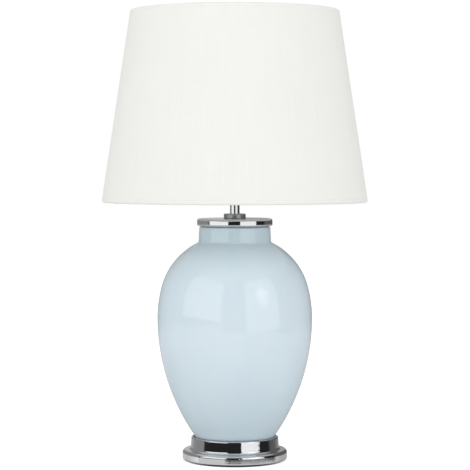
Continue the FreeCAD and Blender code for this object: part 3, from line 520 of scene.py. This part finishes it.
def upwards(height):
    """A vector straight up."""
    return Vector((0, 0, height))


# ---- the shade's cloth ----

def hem_shape(up):
    """The length of the cloth's roll round a wire, and the hem's start and run from there to the cut edge,
    outward and upward of the wire's centre. up is +1 at the top wire and -1 at the bottom one."""
    turn = math.pi - LEAN if up > 0 else math.pi + LEAN
    start = Vector((-ROLL, 0))
    along = Vector((-math.sin(LEAN), math.cos(LEAN)))
    normal = Vector((math.cos(LEAN), math.sin(LEAN)))
    edge = normal * HEM_FACE - along * HEM * up
    return turn * ROLL, start, edge - start


def hem_path(wire, up, length):
    """Points and outward directions of the cloth's face, from the wall round the wire and along the hem,
    for the length that the cloth reaches."""
    roll_length, start, straight = hem_shape(up)
    away = Vector((-straight.y, straight.x)).normalized() * up
    places = []
    for s in spread(0.0, length, HEM_POINTS):
        if s <= roll_length:
            angle = LEAN + up * s / ROLL
            facing = Vector((math.cos(angle), math.sin(angle)))
            spot = facing * ROLL
        else:
            facing = away if away.x < 0 else -away
            spot = start + straight.normalized() * (s - roll_length)
        places.append((wire.radius + spot.x, wire.height + spot.y, facing))
    return places


def wall_rows():
    """Distances down the wall's slant: even, and closer at the two creases."""
    creases = [end + side * (CREASE + step) for end, side in ((0.0, 1), (SLANT, -1)) for step in CREASE_ROWS]
    return sorted(spread(0.0, SLANT, WALL_ROW_COUNT)[1:-1] + creases)


def wall_path():
    """Points and outward directions of the cloth's face down the wall, from the top wire's height."""
    normal = Vector((math.cos(LEAN), math.sin(LEAN)))
    places = []
    for along in wall_rows():
        share = along / SLANT
        groove = CREASE_DEPTH * max(0.0, 1 - abs(min(along, SLANT - along) - CREASE) / CREASE_HALF)
        radius = TOP_WIRE.radius + (FOOT_WIRE.radius - TOP_WIRE.radius) * share + normal.x * (ROLL - groove)
        height = TOP_WIRE.height + (FOOT_WIRE.height - TOP_WIRE.height) * share + normal.y * (ROLL - groove)
        places.append((radius, height, normal))
    return places


def shortest_turn(a, b):
    """The signed angle from b to a."""
    return math.remainder(a - b, 2 * math.pi)


def cloth_angles():
    """Angles round the shade: even, and closer at the slots and the seam."""
    angles = {i * 2 * math.pi / CLOTH_COLUMNS for i in range(CLOTH_COLUMNS)}
    slot_turn = SLOT_HALF / FOOT_WIRE.radius
    for spoke in SPOKE_ANGLES:
        angles |= {(spoke + k * slot_turn / 4) % (2 * math.pi) for k in SLOT_COLUMNS}
    step = SEAM_STEP / FOOT_WIRE.radius
    lap = SEAM_LAP / FOOT_WIRE.radius
    for middle, columns in ((SEAM_ANGLE, SEAM_EDGE_COLUMNS), (SEAM_ANGLE + lap, SEAM_SLOPE_COLUMNS)):
        angles |= {(middle + k * step) % (2 * math.pi) for k in columns}
    ordered = sorted(angles)
    least_gap = 1e-5
    return [a for a, b in zip(ordered, ordered[1:] + [ordered[0] + 2 * math.pi]) if b - a > least_gap]


def seam_lift(angle):
    """How far the lap seam lifts the cloth at an angle."""
    out = shortest_turn(angle, SEAM_ANGLE) * FOOT_WIRE.radius
    edge = smooth_step(out, 0.0, SEAM_EDGE)
    slope = 1 - smooth_step(out, SEAM_LAP + SEAM_SLOPE[0], SEAM_LAP + SEAM_SLOPE[1])
    return CLOTH * edge * slope


def hem_reach(up, angle):
    """How far the cloth goes round a wire and along its hem: ragged at the edge, and short at the slots."""
    roll_length, _, straight = hem_shape(up)
    jitter = noise.noise(outwards(angle) * HEM_RAGGED_SCALE) * HEM_RAGGED
    length = roll_length + straight.length + jitter * up
    if up > 0:
        return length
    slot_distance = min(abs(shortest_turn(angle, spoke)) for spoke in SPOKE_ANGLES) * FOOT_WIRE.radius
    slot_end = (math.pi / 2 + LEAN) * ROLL + SLOT_CLEARANCE
    side = [SLOT_HALF * share for share in SLOT_SIDE]
    return slot_end + (length - slot_end) * smooth_step(slot_distance, *side)


def cloth_column(angle, wall):
    """Outer and inner points of one vertical strip of the cloth, from the upper hem's edge to the lower's."""
    top = hem_path(TOP_WIRE, 1, hem_reach(1, angle))
    foot = hem_path(FOOT_WIRE, -1, hem_reach(-1, angle))
    ring = outwards(angle)
    lift = seam_lift(angle)
    outer, inner = [], []
    for radius, height, facing in top[::-1] + wall + foot:
        spot = ring * radius + upwards(height)
        ripple = sum(size * noise.noise(spot * scale) for scale, size in CLOTH_RIPPLES)
        out = ring * facing.x + upwards(facing.y)
        outer.append(spot + out * (lift + ripple))
        inner.append(spot - out * CLOTH * CLOTH_BACK)
    return outer, inner


def make_cloth(material):
    """The linen, rolled over both rings, with a lap seam at the back and a slot for each spoke."""
    wall = wall_path()
    outer, inner = zip(*(cloth_column(angle, wall) for angle in cloth_angles()))
    cloth = new_piece("shade_cloth", grid_solid(outer, inner), material, 60)
    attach(cloth, "shade")
    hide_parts("shade_fabric")


# ---- felt under the plinth ----

def make_felt(material):
    """A cut disc of felt with a soft, uneven edge."""
    low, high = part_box("base_felt")
    thick = high.z - low.z
    radius = high.x
    top, bottom = [], []
    for i in range(FELT_COLUMNS):
        ring = outwards(i * 2 * math.pi / FELT_COLUMNS)
        reach = radius - FELT_RAGGED * (1 + noise.noise(ring * FELT_RAGGED_SCALE))
        top.append([ring * reach * share + upwards(high.z - thick * worn) for share, worn in FELT_RINGS])
        bottom.append([ring * reach * share + upwards(low.z + thick * worn) for share, worn in FELT_RINGS])
    bm = grid_solid(top, bottom)
    bmesh.ops.remove_doubles(bm, verts=bm.verts, dist=0.01 * MM)
    bmesh.ops.delete(bm, geom=[edge for edge in bm.edges if not edge.link_faces], context="EDGES")
    piece = new_piece("base_felt_disc", bm, material, 50)
    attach(piece, "stand")
    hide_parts("base_felt")


# ---- studio ----
# Azimuths run from the front towards +X, and elevations up from the horizon, both in degrees. A pair of them
# is where a soft edge starts and ends.

# Half the floor's width, its glow to the camera, and how far the panels of light stand from the lamp.
STAGE_HALF = 6.0
FLOOR_GLOW = 0.6
BOX_DISTANCE = 1.5

# The even light on matt surfaces, and what gloss mirrors where nothing else is.
FILL_LEVEL = 0.765
DARK_STUDIO = 0.02

# Grey walls at the left, right and back, and a pale canopy overhead.
LEFT_WALL, LEFT_LEVEL = (-90, -84), 0.26
RIGHT_WALL, RIGHT_LEVEL = (96, 110), 0.10
BACK_WALL, BACK_LEVEL = (165, 172), 0.24
WALL_FOOT, WALL_TOP = (-20, -10), (70, 80)
CANOPY, CANOPY_LEVEL = (34, 52), 0.45

# The pale table, dimmer towards the back, and a dark gap at its far edge, which is ragged and starts lower
# in the middle.
TABLE_EDGE, TABLE_NEAR, TABLE_LEVEL = (-9.0, -4.0), (-60, -20), 0.70
TABLE_TURN, TABLE_BACK_SHARE = (80, 130), 0.5
GAP_FOOT, GAP_TOP = (-9.02, -8.94), (-7.5, -5.5)
GAP_LEFT, GAP_RIGHT = (-24, -18), (96, 104)
GAP_RAGGED = 0.3
GAP_MIDDLE, GAP_MIDDLE_DROP = (12, 17), 0.14

# A round light: its direction, how far from its centre it starts and finishes fading in, and its level.
BULB_AZIMUTH = math.radians(45.0)
BULB_ELEVATION = math.radians(21.0)
BULB_EDGE = (13, 2)
BULB_LEVEL = 1.6

# The camera, in metres, and its lens and sensor in millimetres.
CAMERA_PLACE = (0.0, -2.52, 0.403)
CAMERA_AIM = (0.0003, 0.0, 0.3027)
LENS_MM = 144.0
SENSOR_MM = 36.0
CAMERA_REACH = 50.0


def make_floor():
    """A pale floor that reads as white, and stays out of the chrome."""
    bpy.ops.mesh.primitive_plane_add(size=2 * STAGE_HALF)
    floor = bpy.context.object
    floor.name = "studio_floor"
    finish = Finish("studio_white", Roughness=0.9, Emission_Color=WHITE)
    finish.set("Base Color", finish.blend(finish.noise(3.0), (0.77, 0.77, 0.77), (0.79, 0.79, 0.79)))
    seen = finish.add("ShaderNodeLightPath").outputs["Is Camera Ray"]
    finish.set("Emission Strength", finish.times(seen, FLOOR_GLOW))
    floor.data.materials.append(finish.material)
    floor.visible_glossy = False


def make_softbox(name, azimuth, half_turn, bottom, top, lean, radiance):
    """An upright panel of light that faces the lamp's axis, leant by an angle towards the other panel at its
    top. half_turn is the angle that half its width takes up, and bottom and top are heights."""
    turn = math.radians(azimuth)
    away = Vector((math.sin(turn), -math.cos(turn), 0.0))
    data = bpy.data.lights.new(name, "AREA")
    data.shape = "RECTANGLE"
    data.size = 2 * BOX_DISTANCE * math.tan(math.radians(half_turn))
    data.size_y = top - bottom
    data.energy = radiance * math.pi * data.size * data.size_y
    lamp = bpy.data.objects.new(name, data)
    lamp.location = away * BOX_DISTANCE + upwards((top + bottom) / 2)
    lamp.rotation_mode = "QUATERNION"
    roll = Quaternion(away, math.radians(lean) * math.copysign(1.0, azimuth))
    lamp.rotation_quaternion = roll @ (-away).to_track_quat("-Z", "Y")
    bpy.context.scene.collection.objects.link(lamp)


def make_world():
    """White to the camera, an even fill on matt surfaces, and a studio for gloss to mirror."""
    world = bpy.data.worlds.new("studio")
    world.use_nodes = True
    bpy.context.scene.world = world
    studio = NodeTree(world.node_tree, "Generated")
    x, y, z = studio.add("ShaderNodeSeparateXYZ", Vector=studio.place).outputs
    azimuth = studio.math("DEGREES", studio.math("ARCTAN2", x, studio.times(y, -1.0)))
    elevation = studio.math("DEGREES", studio.math("ARCSINE", z))
    turned_away = studio.math("ABSOLUTE", azimuth)

    def rise(value, edge, level=1):
        return studio.remap(value, *edge, 0, level, smooth=True)

    def fall(value, edge, level=1):
        return studio.remap(value, *edge, level, 0, smooth=True)

    walls = studio.plus(fall(azimuth, LEFT_WALL, LEFT_LEVEL), rise(azimuth, RIGHT_WALL, RIGHT_LEVEL),
                        rise(turned_away, BACK_WALL, BACK_LEVEL))
    walls = studio.times(walls, rise(elevation, WALL_FOOT), fall(elevation, WALL_TOP))

    ragged = studio.times(studio.noise(16.0, 3.0, 0.7, stretch=(1.0, 1.0, 4.0)), GAP_RAGGED)
    edge_shift = studio.plus(ragged, fall(turned_away, GAP_MIDDLE, GAP_MIDDLE_DROP))
    gap = studio.times(rise(studio.plus(elevation, edge_shift), GAP_FOOT), fall(elevation, GAP_TOP),
                       rise(azimuth, GAP_LEFT), fall(azimuth, GAP_RIGHT))
    dimmer = studio.remap(turned_away, *TABLE_TURN, 1.0, TABLE_BACK_SHARE, smooth=True)
    table = studio.times(fall(elevation, TABLE_EDGE), rise(elevation, TABLE_NEAR, TABLE_LEVEL), dimmer,
                         studio.math("SUBTRACT", 1.0, gap))

    sideways = math.cos(BULB_ELEVATION)
    bulb_direction = (math.sin(BULB_AZIMUTH) * sideways, -math.cos(BULB_AZIMUTH) * sideways,
                      math.sin(BULB_ELEVATION))
    bulb = studio.add("ShaderNodeVectorMath", operation="DOT_PRODUCT")
    studio.feed(bulb.inputs[0], studio.place)
    studio.feed(bulb.inputs[1], bulb_direction)
    bulb_edge = [math.cos(math.radians(angle)) for angle in BULB_EDGE]
    glow = rise(bulb.outputs["Value"], bulb_edge, BULB_LEVEL)

    mirrored = studio.plus(walls, table, glow, rise(elevation, CANOPY, CANOPY_LEVEL), DARK_STUDIO)
    path = studio.add("ShaderNodeLightPath")
    unseen = studio.add("ShaderNodeMix", Factor=path.outputs["Is Glossy Ray"], A=FILL_LEVEL, B=mirrored)
    strength = studio.add("ShaderNodeMix", Factor=path.outputs["Is Camera Ray"], A=unseen.outputs[0], B=1.0)
    background = world.node_tree.nodes["Background"]
    background.inputs["Color"].default_value = WHITE
    studio.feed(background.inputs["Strength"], strength.outputs[0])


def make_camera():
    """A long lens, a little above the cap, tipped down to the middle of the lamp."""
    data = bpy.data.cameras.new("camera")
    data.sensor_width = SENSOR_MM
    data.lens = LENS_MM
    data.clip_end = CAMERA_REACH
    camera = bpy.data.objects.new("camera", data)
    bpy.context.scene.collection.objects.link(camera)
    camera.location = CAMERA_PLACE
    camera.rotation_mode = "QUATERNION"
    camera.rotation_quaternion = (Vector(CAMERA_AIM) - camera.location).to_track_quat("-Z", "Y")
    bpy.context.scene.camera = camera


# ---- the lamp ----

FINISHES = {
    "shade_cloth": linen(),
    "shade_film": film(),
    "shade_wire": powder_coat(),
    "glaze": glaze(),
    "chrome": chrome(),
    "thread_steel": zinc(),
    "holder_moulding": moulding("holder_plastic", (0.86, 0.84, 0.79), (0.16, 0.26), 900.0),
    "holder_core": steatite(),
    "contact_brass": brass(),
    "bush_rubber": rubber("black_rubber", (0.02, 0.02, 0.02)),
    "felt": felt(),
    "fibreboard": fibreboard(),
    # The seals' dark grey is painted shadow in the gaps they sit in.
    "gasket_foam": foam(),
    "lead_sheath": rubber("white_sheath", (0.80, 0.80, 0.77)),
    "live_insulation": moulding("brown_insulation", (0.16, 0.06, 0.025), (0.35, 0.5), 1200.0),
    "neutral_insulation": moulding("blue_insulation", (0.02, 0.10, 0.42), (0.35, 0.5), 1200.0),
    "globe_opal": opal(),
    "lamp_moulding": moulding("lamp_plastic", (0.86, 0.86, 0.85), (0.38, 0.5), 1100.0),
    "lamp_cap_metal": nickel(),
    "lamp_insulator": black_glass(),
    "led_board": moulding("white_board", (0.84, 0.84, 0.80), (0.25, 0.4), 700.0),
}

for part in frame["record"]["subparts"]:
    for slot in NODES[part["node"]].material_slots:
        slot.material = FINISHES[part["material_slot"]]

NODES["collar_nut"].material_slots[0].material = satin_chrome()
make_cloth(FINISHES["shade_cloth"])
make_felt(FINISHES["felt"])
make_floor()
make_softbox("left_softbox", azimuth=-50.0, half_turn=31.0, bottom=0.18, top=1.52, lean=2.5, radiance=1.09)
make_softbox("right_softbox", azimuth=41.5, half_turn=25.5, bottom=-0.03, top=1.52, lean=1.5, radiance=1.06)
make_world()
make_camera()
bpy.context.scene.view_settings.view_transform = "Standard"
